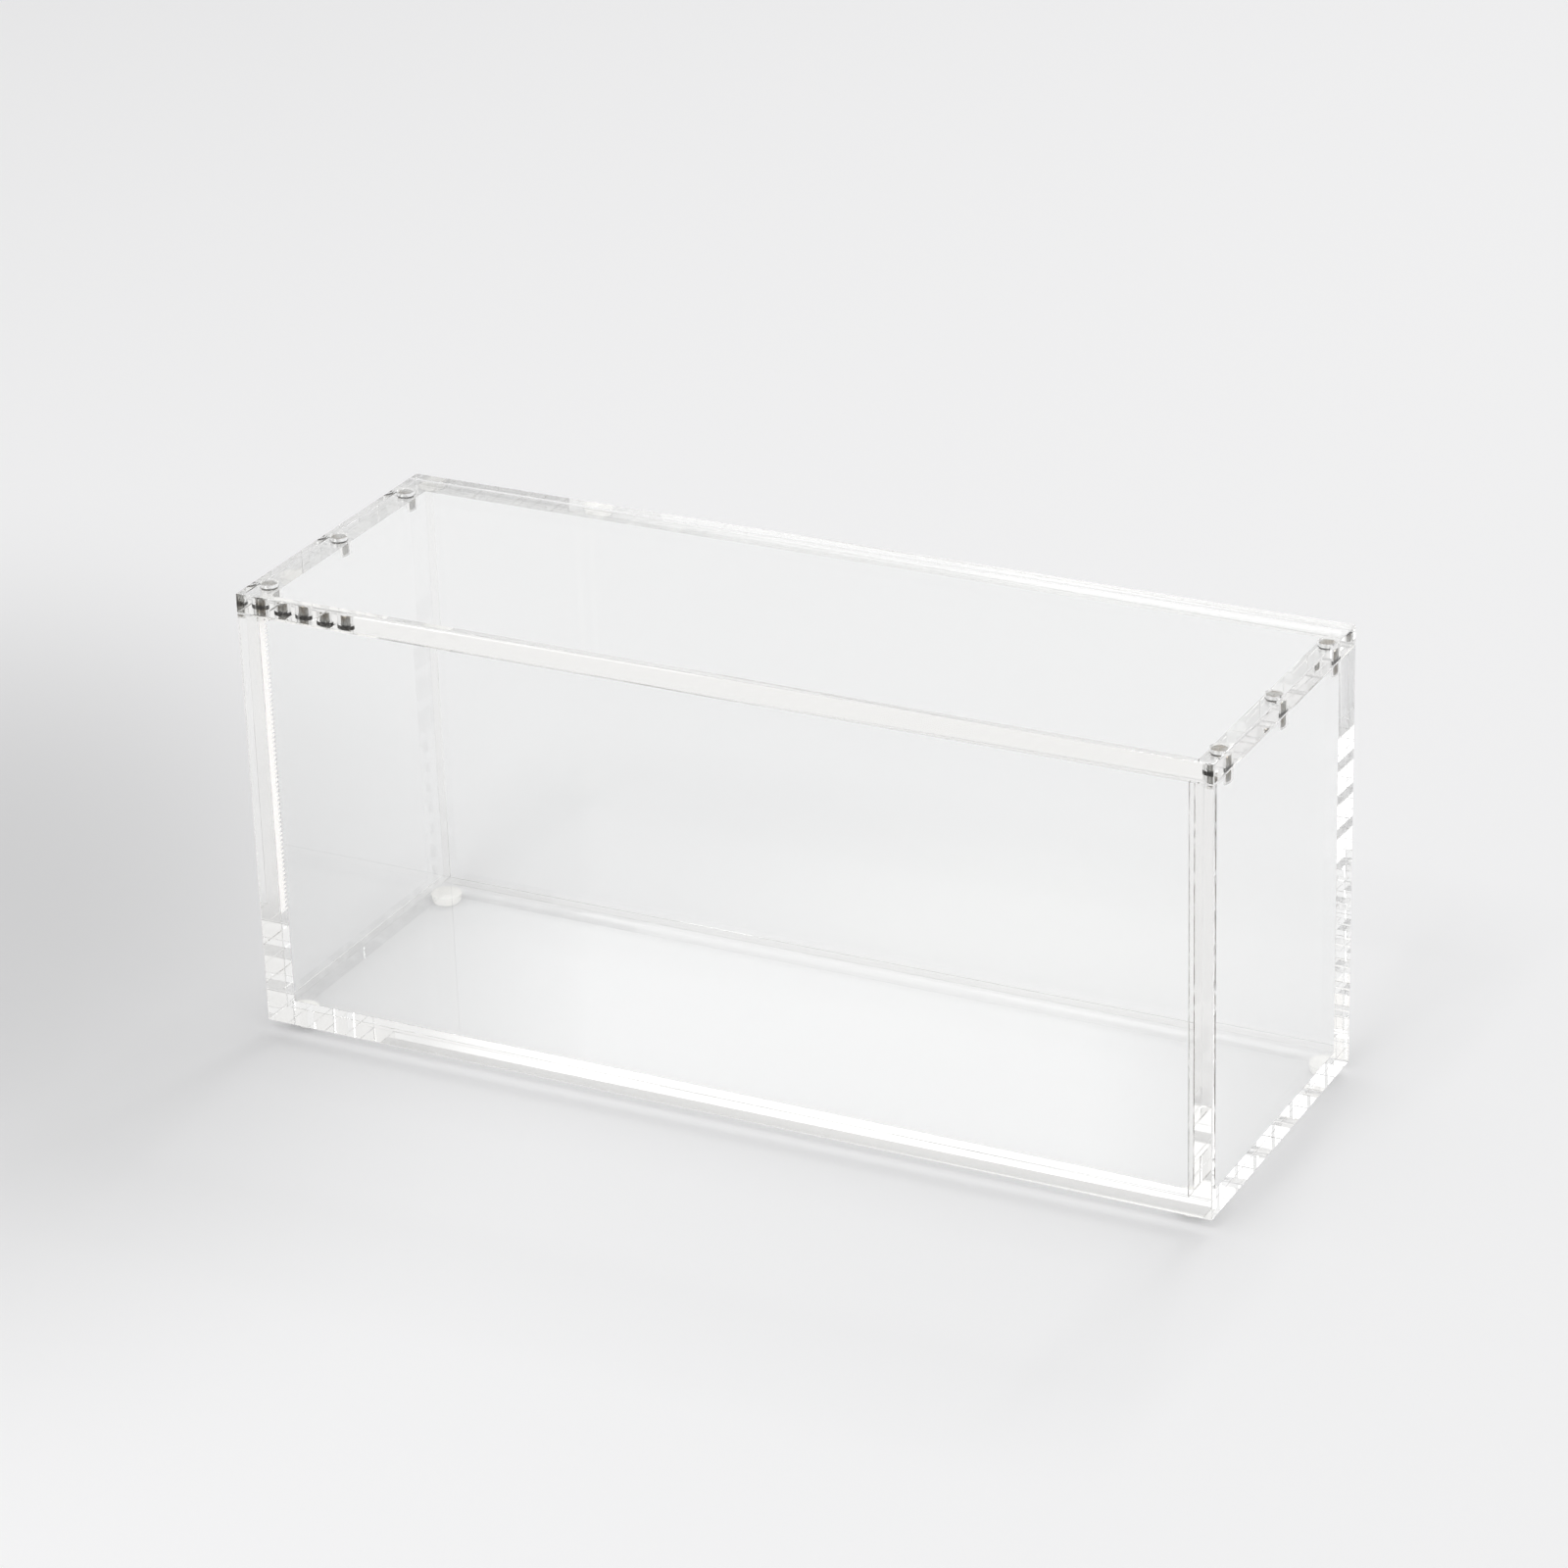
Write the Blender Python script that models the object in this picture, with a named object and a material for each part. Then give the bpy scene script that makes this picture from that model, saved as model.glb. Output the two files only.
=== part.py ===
"""Clear acrylic display case with a loose lid that small magnets hold down.

Lengths are in metres. +X runs along the case, -Y is its front and +Z is up.
The origin lies in the plane that the feet stand on, under the middle of the case.
"""

import math

import bmesh
import bpy

# The case over its outer faces, from the underside of the base to the top of the lid
case_length = 0.254
case_width = 0.086
case_height = 0.115

# Sheet that the panels are cut from
lid_thickness = 0.005
base_thickness = 0.005
wall_thickness = 0.006

# Small round on the free outer edges, none on the glued ones
edge_round = 0.0004
edge_round_segments = 2
round_profile_share = 0.5

# Space left between pieces that touch
seat_space = 0.0003

# Disc magnets, sunk into the lid and into the tops of the two short walls
magnet_diameter = 0.004
magnet_length = 0.003
magnet_chamfer = 0.0002
magnet_end_inset = 0.0105
magnet_row_shares = {"front": -1.0, "middle": 0.0, "back": 1.0}

# Clear bumper feet, glued on near the corners of the base
foot_diameter = 0.008
foot_height = 0.0025
foot_draft = 0.0003
foot_rim_radius = 0.0008
foot_rim_segments = 4
foot_inset = 0.0075

# How far a cutter runs past the face that it cuts, and how close points weld
cut_overrun = 0.001
weld_distance = 0.00001
round_segments = 28
sharp_angle = math.radians(30)

side_shares = {"left": -1.0, "right": 1.0}
depth_shares = {"front": -1.0, "back": 1.0}

# Heights of the faces, from the feet upwards
base_bottom = foot_height + seat_space
base_top = base_bottom + base_thickness
wall_bottom = base_top + seat_space
lid_top = base_bottom + case_height
lid_bottom = lid_top - lid_thickness
wall_top = lid_bottom - seat_space
wall_height = wall_top - wall_bottom

# Lines that the pieces share
short_wall_x = (case_length - wall_thickness) / 2
long_wall_y = (case_width - wall_thickness) / 2
long_wall_length = case_length - 2 * (wall_thickness + seat_space)
magnet_row_y = case_width / 2 - magnet_end_inset
pocket_radius = magnet_diameter / 2 + seat_space
pocket_depth = magnet_length + seat_space


def clear_scene():
    """Remove whatever objects the scene holds."""
    for thing in list(bpy.data.objects):
        bpy.data.objects.remove(thing, do_unlink=True)


def principled(name, colour, roughness, metallic=0.0, transmission=0.0, ior=1.5):
    """A material with one Principled BSDF."""
    material = bpy.data.materials.new(name)
    material.use_nodes = True
    shader = material.node_tree.nodes["Principled BSDF"]
    shader.inputs["Base Color"].default_value = (*colour, 1.0)
    shader.inputs["Roughness"].default_value = roughness
    shader.inputs["Metallic"].default_value = metallic
    shader.inputs["Transmission Weight"].default_value = transmission
    shader.inputs["IOR"].default_value = ior
    return material


def clear_acrylic():
    """Polished colourless cast sheet."""
    return principled("clear_acrylic", (0.98, 0.985, 0.98), 0.02, transmission=1.0, ior=1.49)


def nickel_plate():
    """Dull bright plating of the disc magnets."""
    return principled("nickel_plate", (0.52, 0.50, 0.47), 0.28, metallic=1.0)


def clear_rubber():
    """Soft clear plastic of the feet."""
    return principled("clear_rubber", (0.86, 0.87, 0.86), 0.22, transmission=0.7, ior=1.5)


def empty(name, place):
    """An empty that carries the pieces of one body."""
    carrier = bpy.data.objects.new(name, None)
    carrier.location = place
    bpy.context.scene.collection.objects.link(carrier)
    return carrier


def add_object(name, mesh, place, carrier=None, material=None):
    """Put a mesh in the scene at a place given in the world, carried by an empty."""
    thing = bpy.data.objects.new(name, mesh)
    thing.location = place
    bpy.context.scene.collection.objects.link(thing)
    if material:
        mesh.materials.append(material)
    if carrier:
        thing.parent = carrier
        thing.location = [world - base for world, base in zip(place, carrier.location)]
    return thing


def finish_mesh(name, shape):
    """Turn a bmesh into a mesh, smooth where it is round and sharp at its edges."""
    bmesh.ops.recalc_face_normals(shape, faces=shape.faces)
    mesh = bpy.data.meshes.new(name)
    shape.to_mesh(mesh)
    shape.free()
    mesh.shade_smooth()
    mesh.set_sharp_from_angle(angle=sharp_angle)
    return mesh


def slab_mesh(name, size, is_free_edge):
    """A box about its own centre, with a small round on each edge that is free."""
    shape = bmesh.new()
    bmesh.ops.create_cube(shape, size=1.0)
    bmesh.ops.scale(shape, vec=size, verts=shape.verts)
    free_edges = []
    for edge in shape.edges:
        middle = (edge.verts[0].co + edge.verts[1].co) / 2
        if is_free_edge(middle):
            free_edges.append(edge)
    if free_edges:
        bmesh.ops.bevel(
            shape,
            geom=free_edges,
            offset=edge_round,
            segments=edge_round_segments,
            profile=round_profile_share,
            affect="EDGES",
        )
    return finish_mesh(name, shape)


def turn_profile(shape, outline, centre=(0.0, 0.0)):
    """Add to the bmesh a body turned about a vertical line, from an outline of (radius, height)."""
    x, y = centre
    points = [shape.verts.new((x + radius, y, height)) for radius, height in outline]
    lines = [shape.edges.new(pair) for pair in zip(points, points[1:])]
    bmesh.ops.spin(
        shape,
        geom=points + lines,
        cent=(x, y, 0.0),
        axis=(0.0, 0.0, 1.0),
        angle=math.tau,
        steps=round_segments,
        use_merge=True,
    )
    bmesh.ops.remove_doubles(shape, verts=shape.verts, dist=weld_distance)


def magnet_mesh(name):
    """A disc magnet about its own centre, with a small chamfer on both rims."""
    radius = magnet_diameter / 2
    half = magnet_length / 2
    outline = [
        (0.0, half),
        (radius - magnet_chamfer, half),
        (radius, half - magnet_chamfer),
        (radius, magnet_chamfer - half),
        (radius - magnet_chamfer, -half),
        (0.0, -half),
    ]
    shape = bmesh.new()
    turn_profile(shape, outline)
    return finish_mesh(name, shape)


def foot_mesh(name):
    """A bumper foot below its glued top face, drawn in a little and rounded at its lower rim."""
    radius = foot_diameter / 2
    rim_x = radius - foot_draft - foot_rim_radius
    rim_z = foot_rim_radius - foot_height
    outline = [(0.0, 0.0), (radius, 0.0)]
    for step in range(foot_rim_segments + 1):
        angle = math.pi / 2 * step / foot_rim_segments
        across = foot_rim_radius * math.cos(angle)
        down = foot_rim_radius * math.sin(angle)
        outline.append((rim_x + across, rim_z - down))
    outline.append((0.0, -foot_height))
    shape = bmesh.new()
    turn_profile(shape, outline)
    return finish_mesh(name, shape)


def drill_pockets(panel, centres, mouth_height, into):
    """Cut blind magnet pockets into a panel; into is +1 for upwards and -1 for downwards."""
    outside = mouth_height - into * cut_overrun
    floor = mouth_height + into * pocket_depth
    outline = [
        (0.0, max(outside, floor)),
        (pocket_radius, max(outside, floor)),
        (pocket_radius, min(outside, floor)),
        (0.0, min(outside, floor)),
    ]
    shape = bmesh.new()
    for centre in centres:
        turn_profile(shape, outline, centre)
    name = panel.name + "_pocket_cutter"
    cutter = add_object(name, finish_mesh(name, shape), (0.0, 0.0, 0.0))
    cutter.hide_render = True
    cutter.display_type = "WIRE"
    cut = panel.modifiers.new("magnet_pockets", "BOOLEAN")
    cut.operation = "DIFFERENCE"
    cut.solver = "EXACT"
    cut.object = cutter


def magnet_centres(side):
    """Places of the three magnets along one short wall, by row name."""
    x = side_shares[side] * short_wall_x
    return {row: (x, share * magnet_row_y) for row, share in magnet_row_shares.items()}


def build_base(acrylic, case_body):
    """Base plate as large as the case, with its lower and its upright edges free."""
    size = (case_length, case_width, base_thickness)
    mesh = slab_mesh("base_panel", size, lambda middle: middle.z <= 0.0)
    place = (0.0, 0.0, base_bottom + base_thickness / 2)
    add_object("base_panel", mesh, place, case_body, acrylic)


def build_long_wall(depth, acrylic, case_body):
    """Front or back wall, held between the short walls, with every edge glued or under the lid."""
    name = depth + "_wall"
    size = (long_wall_length, wall_thickness, wall_height)
    mesh = slab_mesh(name, size, lambda middle: False)
    place = (0.0, depth_shares[depth] * long_wall_y, wall_bottom + wall_height / 2)
    add_object(name, mesh, place, case_body, acrylic)


def build_short_wall(side, acrylic, case_body):
    """Left or right wall, as deep as the case, with its two outer upright edges free."""
    name = side + "_wall"
    sign = side_shares[side]
    size = (wall_thickness, case_width, wall_height)

    def is_outer_upright(middle):
        return middle.z == 0.0 and middle.x * sign > 0.0

    mesh = slab_mesh(name, size, is_outer_upright)
    place = (sign * short_wall_x, 0.0, wall_bottom + wall_height / 2)
    panel = add_object(name, mesh, place, case_body, acrylic)
    drill_pockets(panel, magnet_centres(side).values(), wall_top, -1.0)


def build_lid(acrylic, lid_body):
    """Loose lid plate as large as the case, all its edges free."""
    size = (case_length, case_width, lid_thickness)
    mesh = slab_mesh("lid_panel", size, lambda middle: True)
    place = (0.0, 0.0, lid_bottom + lid_thickness / 2)
    panel = add_object("lid_panel", mesh, place, lid_body, acrylic)
    centres = [centre for side in side_shares for centre in magnet_centres(side).values()]
    drill_pockets(panel, centres, lid_bottom, 1.0)


def build_magnets(nickel, case_body, lid_body):
    """Magnets flush with the faces that meet, one in the wall under each one in the lid."""
    mesh = magnet_mesh("magnet")
    mesh.materials.append(nickel)
    for side in side_shares:
        for row, (x, y) in magnet_centres(side).items():
            wall_place = (x, y, wall_top - magnet_length / 2)
            lid_place = (x, y, lid_bottom + magnet_length / 2)
            add_object(f"wall_magnet_{side}_{row}", mesh, wall_place, case_body)
            add_object(f"lid_magnet_{side}_{row}", mesh, lid_place, lid_body)


def build_feet(rubber, case_body):
    """Four bumper feet under the corners of the base."""
    mesh = foot_mesh("foot")
    mesh.materials.append(rubber)
    for depth, depth_share in depth_shares.items():
        for side, side_share in side_shares.items():
            x = side_share * (case_length / 2 - foot_inset)
            y = depth_share * (case_width / 2 - foot_inset)
            add_object(f"foot_{depth}_{side}", mesh, (x, y, foot_height), case_body)


def main():
    clear_scene()
    acrylic = clear_acrylic()
    case_body = empty("case_body", (0.0, 0.0, 0.0))
    lid_body = empty("lid_body", (0.0, 0.0, lid_bottom))
    build_base(acrylic, case_body)
    for depth in depth_shares:
        build_long_wall(depth, acrylic, case_body)
    for side in side_shares:
        build_short_wall(side, acrylic, case_body)
    build_lid(acrylic, lid_body)
    build_magnets(nickel_plate(), case_body, lid_body)
    build_feet(clear_rubber(), case_body)


main()
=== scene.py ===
"""Looks of a clear acrylic display case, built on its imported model.

Lengths are in metres. +X runs along the case, -Y is its front and +Z is up.
"""

import math

import bmesh
import bpy
from mathutils import Euler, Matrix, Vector


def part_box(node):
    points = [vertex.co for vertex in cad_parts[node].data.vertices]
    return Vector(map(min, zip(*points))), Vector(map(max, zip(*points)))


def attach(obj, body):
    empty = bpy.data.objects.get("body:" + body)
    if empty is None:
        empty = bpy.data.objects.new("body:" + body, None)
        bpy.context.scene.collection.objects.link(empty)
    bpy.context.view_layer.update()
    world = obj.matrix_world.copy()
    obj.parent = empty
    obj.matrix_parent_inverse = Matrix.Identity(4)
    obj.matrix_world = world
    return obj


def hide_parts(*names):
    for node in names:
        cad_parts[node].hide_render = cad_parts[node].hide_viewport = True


bl_info = {
    "name": "Acrylic Display Case",
    "version": (1, 0, 0),
    "blender": (4, 5, 0),
    "location": "3D Viewport > Sidebar > Display Case",
    "description": "Dresses the packed model of a clear case with a magnetic lid",
    "category": "Object",
}

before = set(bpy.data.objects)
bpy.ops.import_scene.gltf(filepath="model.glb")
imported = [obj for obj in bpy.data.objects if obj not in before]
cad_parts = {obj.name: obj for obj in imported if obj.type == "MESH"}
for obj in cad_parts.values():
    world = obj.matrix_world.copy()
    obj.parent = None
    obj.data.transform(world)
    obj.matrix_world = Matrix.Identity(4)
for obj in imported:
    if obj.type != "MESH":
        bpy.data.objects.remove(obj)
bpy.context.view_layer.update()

SIDES = {"left": -1.0, "right": 1.0}
DEPTHS = {"front": -1.0, "back": 1.0}
ROWS = ("front", "middle", "back")

# Share of a direction along an axis, for a side that faces along it and for one square to it
FACING = 0.9
SQUARE = 0.9999

# Distances within which a middle counts as on a face, by it, or on one half of a sheet
ON_FACE = 0.00001
BY_FACE = 0.0001
OFF_CENTRE = 0.001

# Steps of the round on a free edge and of the chamfer at a joint
EASED_SEGMENTS = 3
GROOVE_SEGMENTS = 1

# Space round a magnet in its pocket, and how far the drill runs past the mouth
POCKET_CLEARANCE = 0.0003
DRILL_OVERRUN = 0.001

# How far the ring of painted shade lies behind the wall of its pocket
SHADE_RING_SPACE = 0.00002

# Width of the gap left open at the border of a cemented joint
FOOT_GAP = 0.0001
UPRIGHT_GAPS = {
    ("front", "left"): 0.00006,
    ("front", "right"): 0.0008,
    ("back", "left"): 0.00006,
    ("back", "right"): 0.00006,
}

# How far a border keeps off the faces of its sheet, how long its steps are, and the waves in
# its width: their share of it, turn in radians per metre and start
BORDER_INSET = 0.00005
BORDER_STEP = 0.0015
BORDER_WAVES = ((0.12, 1900.0, 0.0), (0.08, 4700.0, 1.0))

# How far the sawn end keeps off the faces of its wall
SAWN_INSET = 0.0001

# Name, place, point that it faces, width and height, brightness
SOFTBOXES = (
    ("front_softbox", (0.0, -1.26, 1.8), (0.0, 0.0, 0.0), (0.5, 0.5), 14.6),
    ("back_softbox", (0.05, 1.3, 1.8), (0.0, 0.0, 0.0), (0.5, 0.5), 13.2),
    ("key_card", (-0.4, -0.98, 0.66), (0.0, 0.0, 0.06), (0.49, 0.5), 1.0),
)

# Parts of the room that a sheet mirrors: middle, half size and softness in degrees, brightness.
# They are given by direction, anticlockwise from +X and up from the horizon.
ROOM_ZONES = (
    ((-62.0, 18.0), (30.0, 34.0), (3.0, 3.0), 0.18),
    ((0.0, 25.0), (24.0, 30.0), (3.0, 3.0), 0.55),
    ((-170.0, 35.0), (26.0, 18.0), (3.0, 3.0), 0.5),
    ((-124.0, 25.0), (9.5, 12.0), (1.0, 1.0), 0.5),
    ((-108.0, 27.0), (6.5, 12.0), (1.0, 1.0), 0.78),
    ((117.0, 35.3), (4.0, 10.0), (1.0, 0.5), 1.6),
)

# Soft ovals of painted shade and painted light on the paper: middle, turn in radians, half size,
# name of their colour
PAPER_TONES = (
    ((-0.24, -0.02), -0.98, (0.34, 0.19), "painted_floor_shade"),
    ((0.02, 0.085), 0.0, (0.13, 0.1), "painted_floor_light"),
)
PAPER_HALF = 3.0
PAPER_CELLS = 8

# The camera, fitted to the corners and joint lines of the case, with its turn in degrees
CAMERA_PLACE = (0.53904, -1.03784, 0.60713)
CAMERA_TURN = (65.4094, 1.6976, 26.7754)
SENSOR_WIDTH = 36.0
CLIP_START = 0.01

# Light turns many times inside a clear sheet before it comes out
MOST_BOUNCES = 96


class Wire:
    """A shader socket that can be used in Python expressions."""

    def __init__(self, tree, socket):
        self.tree = tree
        self.socket = socket

    def __getitem__(self, name):
        """Another output of the same node."""
        return Wire(self.tree, self.socket.node.outputs[name])

    def math(self, operation, *values):
        """A Math node on values or wires, in the order given."""
        return self.tree.add("Math", {"operation": operation}, dict(enumerate(values)))

    def __add__(self, other):
        return self.math("ADD", self, other)

    def __radd__(self, other):
        return self.math("ADD", other, self)

    def __sub__(self, other):
        return self.math("SUBTRACT", self, other)

    def __rsub__(self, other):
        return self.math("SUBTRACT", other, self)

    def __mul__(self, other):
        return self.math("MULTIPLY", self, other)

    def __rmul__(self, other):
        return self.math("MULTIPLY", other, self)

    def __gt__(self, other):
        return self.math("GREATER_THAN", self, other)

    def __lt__(self, other):
        return self.math("LESS_THAN", self, other)

    def __abs__(self):
        return self.math("ABSOLUTE", self)

    def either(self, other):
        """The larger of two masks."""
        return self.math("MAXIMUM", self, other)


class Tree:
    """The node tree of a material or a world."""

    def __init__(self, owner):
        owner.use_nodes = True
        self.owner = owner
        self.nodes = owner.node_tree.nodes
        self.links = owner.node_tree.links
        self.nodes.clear()

    def add(self, kind, settings, sockets, output=0):
        """Make a node: its settings first, then the values or links of its sockets."""
        node = self.nodes.new("ShaderNode" + kind)
        for name, value in settings.items():
            if name == "stops":
                self.set_stops(node.color_ramp, value)
            else:
                setattr(node, name, value)
        for name, value in sockets.items():
            if isinstance(value, Wire):
                self.links.new(value.socket, node.inputs[name])
            else:
                node.inputs[name].default_value = value
        return Wire(self, node.outputs[output]) if node.outputs else None

    def set_stops(self, ramp, stops):
        """Give a ramp its two stops, each a place and a shade of grey."""
        for stop, (place, shade) in zip(ramp.elements, stops):
            stop.position = place
            stop.color = (shade, shade, shade, 1.0)

    def mix_colour(self, factor, first, second):
        """The first colour where the factor is 0, and the second where it is 1."""
        return self.add("Mix", {"data_type": "RGBA"}, {0: factor, 6: first, 7: second}, 2)

    def noise(self, scale, detail, stretch=(1.0, 1.0, 1.0)):
        """Noise by the place on the object, at so many turns per metre."""
        place = self.add("TexCoord", {}, {}, "Object")
        place = self.add("Mapping", {}, {"Vector": place, "Scale": stretch})
        return self.add("TexNoise", {}, {"Vector": place, "Scale": scale, "Detail": detail}, "Fac")

    def patches(self, scale, detail, *stops):
        """Noise cut down to patches by the two stops of a ramp."""
        return self.add("ValToRGB", {"stops": stops}, {"Fac": self.noise(scale, detail)})

    def film(self, cover, colour):
        """A thin dull film that lets what is behind it show where the cover is low."""
        dull = self.add("BsdfDiffuse", {}, {"Color": opaque(colour)})
        clear = self.add("BsdfTransparent", {}, {})
        return self.add("MixShader", {}, {0: cover, 1: clear, 2: dull})

    def finish(self, shader):
        """Put a shader on the material's output, and return the material."""
        self.add("OutputMaterial", {}, {"Surface": shader})
        return self.owner


def opaque(colour):
    """A colour with full alpha."""
    return (*colour, 1.0)


def new_tree(name):
    """The empty tree of a new material."""
    return Tree(bpy.data.materials.new(name))


def let_lamps_through(tree, shader, lamp_tint, soft_tint, longest_path):
    """Pass lamp and room light straight through, and rays that the sheet would hold for ever."""
    path = tree.add("LightPath", {}, {}, "Is Shadow Ray")
    held = path["Ray Depth"] > longest_path
    clear = tree.add("BsdfTransparent", {}, {})
    shader = tree.add("MixShader", {}, {0: held, 1: shader, 2: clear})
    soft = tree.add("BsdfTransparent", {}, {"Color": opaque(soft_tint)})
    shader = tree.add("MixShader", {}, {0: path["Is Diffuse Ray"], 1: shader, 2: soft})
    hard = tree.add("BsdfTransparent", {}, {"Color": opaque(lamp_tint)})
    return tree.add("MixShader", {}, {0: path, 1: shader, 2: hard})


def sheet_face_finish(look):
    """Polished face of cast sheet: faint waves, and haze where hands have been."""
    tree = new_tree("clear_sheet_face")
    haze = tree.patches(38.0, 3.0, (0.55, 0.0), (0.8, 1.0))
    waves = tree.noise(16.0, 1.0)
    bump = tree.add("Bump", {}, {"Strength": 0.05, "Distance": 0.0001, "Height": waves})
    sockets = {
        "Base Color": opaque(look.sheet_colour),
        "Roughness": haze * look.haze,
        "IOR": look.sheet_ior,
        "Transmission Weight": 1.0,
        "Normal": bump,
    }
    sheet = tree.add("BsdfPrincipled", {}, sockets)
    tints = (look.shadow_tint, (1.0, 1.0, 1.0))
    return tree.finish(let_lamps_through(tree, sheet, *tints, look.longest_path))


def sheet_edge_finish(look):
    """Cut and polished edge of the sheet, a little duller in places."""
    tree = new_tree("polished_sheet_edge")
    marks = tree.patches(160.0, 3.0, (0.6, 0.0), (0.85, 1.0))
    sockets = {
        "Base Color": opaque(look.edge_colour),
        "Roughness": marks * look.edge_roughness,
        "IOR": look.sheet_ior,
        "Transmission Weight": 1.0,
    }
    edge = tree.add("BsdfPrincipled", {}, sockets)
    tints = (look.edge_shadow_tint, look.edge_soft_tint)
    return tree.finish(let_lamps_through(tree, edge, *tints, look.longest_path))


def sawn_finish(look):
    """Sawn acrylic that was not polished before it was cemented: white, and warmer in places, with
    a painted glow that stands in for light gathered inside the sheet.
    """
    tree = new_tree("sawn_end")
    warmth = tree.noise(120.0, 1.0)
    colour = tree.mix_colour(warmth, opaque(look.sawn_colour), opaque(look.sawn_tint))
    sockets = {
        "Base Color": colour,
        "Roughness": 0.6,
        "Alpha": look.sawn_cover,
        # Painted light: the emission makes the sawn end glow, though it is no lamp
        "Emission Color": colour,
        "Emission Strength": look.sawn_painted_glow,
    }
    return tree.finish(tree.add("BsdfPrincipled", {}, sockets))


def joint_border_finish(look):
    """Border of a cemented joint, where a thin gap stays open and looks dark."""
    tree = new_tree("joint_border")
    breaks = tree.patches(300.0, 3.0, (0.34, 0.25), (0.5, 1.0))
    return tree.finish(tree.film(breaks * look.border_cover, look.border_colour))


def nickel_finish(look):
    """Plated magnet: turning marks round the rim, warm stains, and painted shade on its lower rim.
    """
    tree = new_tree("plated_magnet")
    marks = tree.noise(900.0, 3.0, (1.0, 1.0, 0.12))
    stains = tree.patches(420.0, 2.0, (0.42, 0.0), (0.62, 1.0))
    colour = tree.mix_colour(stains, opaque(look.plate_colour), opaque(look.plate_stain))
    # Painted shade: the lower rim is made dark and dull, for the shaded gap round the magnet in
    # its pocket
    height = tree.add("TexCoord", {}, {}, "Object")
    height = tree.add("SeparateXYZ", {}, {0: height}, "Z")
    span = {"Value": height, "From Min": look.rim_bottom, "From Max": look.rim_top}
    rim = tree.add("MapRange", {"clamp": True}, {**span, "To Min": 1.0, "To Max": 0.0})
    colour = tree.mix_colour(rim, colour, opaque(look.painted_rim_shade))
    bump = tree.add("Bump", {}, {"Strength": 0.25, "Distance": 0.0001, "Height": marks})
    sockets = {
        "Base Color": colour,
        "Metallic": 1.0 - rim,
        "Roughness": marks * 0.25 + look.plate_roughness + rim * 0.4,
        "Normal": bump,
    }
    return tree.finish(tree.add("BsdfPrincipled", {}, sockets))


def shade_ring_finish(look):
    """Painted shade of the gap between a magnet and the mouth of its pocket, broken in places."""
    tree = new_tree("pocket_glue")
    # Painted shade: a dark film at the pocket's mouth, where the gap round the magnet lies in
    # shade
    ring_gaps = tree.patches(700.0, 2.0, (0.3, 0.4), (0.5, 1.0))
    return tree.finish(tree.film(ring_gaps * look.shade_ring_cover, look.painted_rim_shade))


def foot_finish(look):
    """Milky soft plastic, uneven on its surface, with a painted glow that stands in for the light
    it gathers.
    """
    tree = new_tree("clear_bumper")
    cloud = tree.noise(600.0, 2.0)
    bump = tree.add("Bump", {}, {"Strength": 0.2, "Distance": 0.0002, "Height": cloud})
    sockets = {
        "Base Color": opaque(look.bumper_colour),
        "Roughness": cloud * 0.12 + 0.04,
        "IOR": 1.45,
        "Transmission Weight": 0.1,
        # Painted light: emission makes the foot glow brighter than the paper
        "Emission Color": opaque(look.bumper_colour),
        "Emission Strength": look.bumper_painted_glow,
        "Normal": bump,
    }
    bumper = tree.add("BsdfPrincipled", {}, sockets)
    tint = look.shadow_tint
    return tree.finish(let_lamps_through(tree, bumper, tint, tint, look.longest_path))


def is_flat(face):
    """Whether a face is one of the flat sides of a sheet, square to the axes."""
    return max(abs(part) for part in face.normal) > SQUARE


def link_mesh(name, shape, materials):
    """Turn a bmesh into a piece of the scene, smooth where it is round."""
    for face in shape.faces:
        face.smooth = True
    for edge in shape.edges:
        edge.smooth = not any(is_flat(face) for face in edge.link_faces)
    mesh = bpy.data.meshes.new(name)
    shape.to_mesh(mesh)
    shape.free()
    for material in materials:
        mesh.materials.append(material)
    piece = bpy.data.objects.new(name, mesh)
    bpy.context.scene.collection.objects.link(piece)
    return piece


def box_shape(low, high):
    """A plain block between two corners, to be eased and cut into a sheet."""
    shape = bmesh.new()
    bmesh.ops.create_cube(shape, size=1.0)
    for corner in shape.verts:
        for axis in range(3):
            corner.co[axis] = low[axis] if corner.co[axis] < 0.0 else high[axis]
    return shape


def ease(shape, width, segments, is_eased):
    """Round the edges for which is_eased says so, given the middle and the direction."""
    chosen = []
    for edge in shape.edges:
        start, end = (corner.co for corner in edge.verts)
        if is_eased((start + end) / 2, (end - start).normalized()):
            chosen.append(edge)
    if chosen and width:
        bmesh.ops.bevel(
            shape, geom=chosen, offset=width, segments=segments, profile=0.5, affect="EDGES"
        )


def add_tube(shape, centre, radius, heights, steps):
    """Add an open upright tube to a shape, and return the corners of its two ends."""
    turns = [math.tau * step / steps for step in range(steps)]
    ends = []
    for height in heights:
        ends.append([])
        for turn in turns:
            x = centre[0] + radius * math.cos(turn)
            y = centre[1] + radius * math.sin(turn)
            ends[-1].append(shape.verts.new((x, y, height)))
    first, second = ends
    for start in range(steps):
        end = (start + 1) % steps
        shape.faces.new((first[start], first[end], second[end], second[start]))
    return ends


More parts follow.
